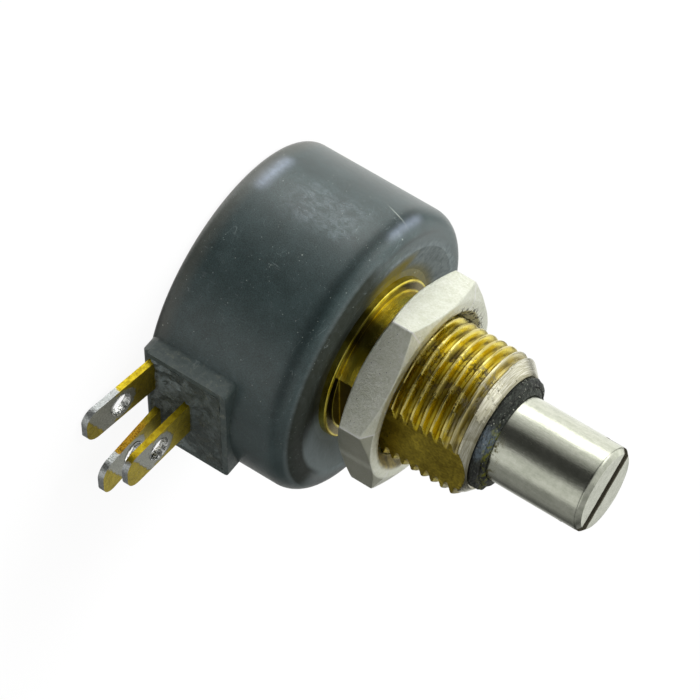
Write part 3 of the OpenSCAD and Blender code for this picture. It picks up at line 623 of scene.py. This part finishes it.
# Shaft: ground steel with a nickel flash, keyed to the rotor at its rear end, with a shoulder behind the bushing,
# two grooves, and a screwdriver slot sawn across the coned front end.
def ground_shaft():
    """Shaft from the second groove out: chords parallel to the slot, each a rectangle in its plane whose half width
    is sqrt(radius(z)^2 - offset^2). The slot is where the offset is under 0.4, and its top is 1.5 lower. Behind
    it a turned part closes on the axis."""
    base, end, cone, slot_half, slot_deep = 10.0, 17.35, 0.3, 0.4, 1.5
    sweep = 3 * np.sin(np.linspace(-np.pi / 2, np.pi / 2, 151))
    sweep = sweep[np.abs(sweep) > slot_half + 0.07]
    lips = np.array([slot_half + 0.04, slot_half, slot_half - 0.0005])
    offset = np.sort(np.concatenate([sweep, lips, -lips, [0]]))[:, None]
    inside = np.abs(offset) < slot_half - 0.0002
    lip = np.clip((slot_half + 0.04 - np.abs(offset)) / 0.04, 0, 1) * 0.04
    top = np.where(inside, end - slot_deep, end - lip)
    top = np.minimum(top, end - cone + 3 - np.abs(offset))
    heights = np.concatenate([np.linspace(base, end - slot_deep - 0.01, 10),
                              np.linspace(end - slot_deep, end - cone - 0.04, 10),
                              end - cone + np.array([-0.02, 0.0, 0.03]), end - cone + np.linspace(0.1, cone - 0.03, 4),
                              [end - 0.008]])
    z = np.minimum(heights[None, :], top)
    radius = np.interp(z, [0, end - cone - 0.04, end - cone + 0.04, end - 0.04, end], [3, 3, 2.96, 2.715, 2.66])
    half = np.sqrt(np.maximum(radius ** 2 - offset ** 2, 0))
    share = np.linspace(1, -1, 26)[None, 1:-1]
    over = half[:, -1:] * share
    loop_x = np.concatenate([half, over, -half[:, ::-1], -half[:, :1] * -share], 1)
    loop_z = np.concatenate([z, np.repeat(top, 24, 1), z[:, ::-1], np.full((len(offset), 24), base)], 1)
    slot_azimuth = -60.5
    turn = math.radians(slot_azimuth)
    x = loop_x * math.cos(turn) - offset * math.sin(turn)
    y = loop_x * math.sin(turn) + offset * math.cos(turn)
    return closed_skin("shaft_front", np.stack([x, y, loop_z], -1), sharp=30)


def shaft_rear():
    """Rear of the shaft: outline about the axis, with its keyed end cut to flats at 1.9 by min(2.6, 1.9 / |sin|)."""
    turn = np.linspace(0, 2 * np.pi, 360, endpoint=False)
    outline = np.array([(0, 10.93), (2.72, 10.93), (2.75, 10.90), (2.75, 10.36), (2.78, 10.33), (2.97, 10.33),
                        (3.0, 10.30), (3.0, 9.17), (2.97, 9.14), (2.6, 9.14), (2.6, 8.75), (2.97, 8.75), (3.0, 8.72),
                        (3.0, -2.95), (3.97, -2.95), (4.0, -2.98), (4.0, -3.92), (3.97, -3.95), (2.6, -3.95),
                        (2.6, -3.96), (2.6, -8.33), (2.57, -8.36), (0, -8.36)])
    ring = np.repeat(outline[:, None], len(turn), 1)
    keyed = ring[..., 1] < -3.955
    ring[..., 0] = np.where(keyed, np.minimum(ring[..., 0], 1.9 / np.maximum(np.abs(np.sin(turn)), 0.3)), ring[..., 0])
    return spun("shaft_back", ring, turn, 30, ring=False)


it = Finish("ground_steel")
smear = it.noise(0.5, 4, 0.6, (1, 1, 4))
fine = it.noise(0.08, 3, 0.6, (1, 1, 5))
pits = it.noise(0.13, 4, 0.7).step(0.66, 0.74)
scratch = it.noise(0.06, 2, 0.5, (1, 1, 14)).step(0.64, 0.7)
mottle = it.noise(0.4, 5, 0.75)
colour = (smear * 0.5 + mottle * 0.5).step(0.3, 0.7).paint(rgb(192, 196, 180), rgb(224, 226, 212))
colour = (pits * 0.35).paint(colour, rgb(120, 114, 90))
colour = (scratch * 0.2).paint(colour, rgb(236, 236, 230))
# The slot's walls and floor and a ragged band along its lips are painted dark brown: partly dirt, partly painted shade
# in and along the slot.
in_slot = it.z.step(17.33, 17.25) * it.z.step(15.5, 15.8) * it.radius.step(2.98, 2.93)
walls = in_slot * it.facing[2].maths("ABSOLUTE").step(0.6, 0.4)
slot_floor_shade_and_dirt = it.z.step(15.95, 15.9) * it.z.step(15.78, 15.82) * it.facing[2].step(0.8, 0.9)
slot_shade_and_dirt = (walls + slot_floor_shade_and_dirt).maths("MINIMUM", 1.0)
from_slot = (it.x * 0.870 + it.y * 0.492 + (pits - 0.2) * 0.05).maths("ABSOLUTE")
lip_shade_and_dirt = (from_slot + (smear - 0.5) * 0.25).step(0.54, 0.46) * it.z.step(15.7, 15.8)
slot_shade_and_dirt = slot_shade_and_dirt.maths("MAXIMUM", lip_shade_and_dirt)
colour = (slot_shade_and_dirt * 0.92).paint(colour, rgb(58, 50, 30))
rust = it.z.step(11.3, 10.5) * it.noise(0.4, 4, 0.65).step(0.48, 0.6) * it.y.step(-0.8, -2.0)
colour = (rust * 0.8).paint(colour, rgb(112, 104, 30))
rough = (fine * 0.06 + mottle * 0.08 + 0.12) + slot_shade_and_dirt * 0.45 + rust * 0.3 + pits * 0.12
steel = it.shade(colour, rough, 1.0 - slot_shade_and_dirt * 0.6, fine * 0.6 + mottle * 0.6, 0.006)
shaft_front, shaft_back = ground_shaft(), shaft_rear()
for part in (shaft_front, shaft_back):
    part.data.materials.append(steel)
    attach(part, "turning_shaft")
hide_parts("shaft")


# Mounting nut: hexagon brass nut with a matt nickel plate, its corners coned on both faces and its bore countersunk.
def hexagon_nut():
    """Nut: closed outline of bore, countersinks, faces, corner cones and side. The side's radius is
    6.5 / (sum of max(0, cos(angle from each flat)) ^ 90) ^ (1 / 90), a hexagon with lightly rounded corners. From the
    face ring of radius 6.4 a cone drops 0.03 + 0.46 (side - 6.5) at the side."""
    turn = np.linspace(0, 2 * np.pi, 900, endpoint=False)
    half, sharpness, low, high, bore, mouth, face = 6.5, 90, 1.55, 4.05, 5.03, 5.63, 6.4
    flats = np.radians(39.9 + 60 * np.arange(6))[:, None]
    side = half * (np.maximum(np.cos(turn - flats), 0) ** sharpness).sum(0) ** (-1 / sharpness)
    drop = 0.03 + 0.46 * (side - half)
    sunk = mouth - bore
    corners = np.stack([np.stack([radius + 0 * turn, z + 0 * turn], -1) for radius, z in (
        (bore, low + sunk), (mouth, low), (face, low), (side, low + drop), (side, high - drop), (face, high),
        (mouth, high), (bore, high - sunk))])
    outline = eased(corners, 0.09)
    radius, z = outline[..., 0], outline[..., 1]
    wobble = 0.012 * lumps(41, 40, radius * np.cos(turn), radius * np.sin(turn), 1.5 * z)
    outline[..., 0] = radius - np.abs(wobble) * (radius > 5.1)
    return spun("nut_plated", outline, turn, 28)


nut = hexagon_nut()
it = Finish("matt_nickel")
grit = it.noise(0.16, 5, 0.75)
mottle = it.noise(0.8, 4, 0.65)
# Painted glints: pure white specks on the plate that stand for sparkle.
sparkle_glints = it.specks(0.22, 0.05, 0.22)
colour = (grit * 0.6 + mottle * 0.4).step(0.32, 0.68).paint(rgb(224, 227, 208), rgb(252, 254, 244))
colour = (sparkle_glints * 0.7).paint(colour, rgb(255, 255, 255))
# Painted highlights: thin white lines along the six corner edges.
corners = sum(it.towards(9.9 + 60 * i, 0.2, 0.5) for i in range(6))
colour = (corners * 0.7).paint(colour, rgb(255, 255, 255))
# Painted shade: the flat facing azimuth 279.9 is painted darker.
colour = (it.towards(279.9, 29, 1) * it.radius.step(6.45, 6.52) * 0.6).paint(colour, rgb(146, 146, 124))
brown = mottle.step(0.4, 0.6).paint(rgb(98, 84, 34), rgb(168, 150, 66))
worn = it.radius.step(5.95, 5.6) * it.z.step(3.3, 3.6) * it.y.step(3.4, 2.0)
colour = (worn * 0.85).paint(colour, brown)
# Painted shade: the worn ring round the bore is painted darker towards azimuth 212.
colour = (it.towards(212, 16, 14) * worn * 0.6).paint(colour, rgb(66, 62, 40))
near_bore = it.radius.step(6.2, 5.6) * it.z.step(3.2, 3.5)
places = (it.y.step(2.0, 3.2) + it.towards(232, 10, 8)).maths("MINIMUM", 1.0)
soot = it.noise(0.35, 4, 0.65, warp=0.8).step(0.52, 0.55) * near_bore * places
colour = (soot * 0.95).paint(colour, rgb(24, 22, 18))
rough = (grit * 0.2 + 0.32) - sparkle_glints * 0.15 + soot * 0.3
nut.data.materials.append(it.shade(colour, rough, 1.0 - soot * 0.8, grit * 1.0 + mottle * 0.5, 0.06))
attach(nut, "nut")
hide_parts("mounting_nut")
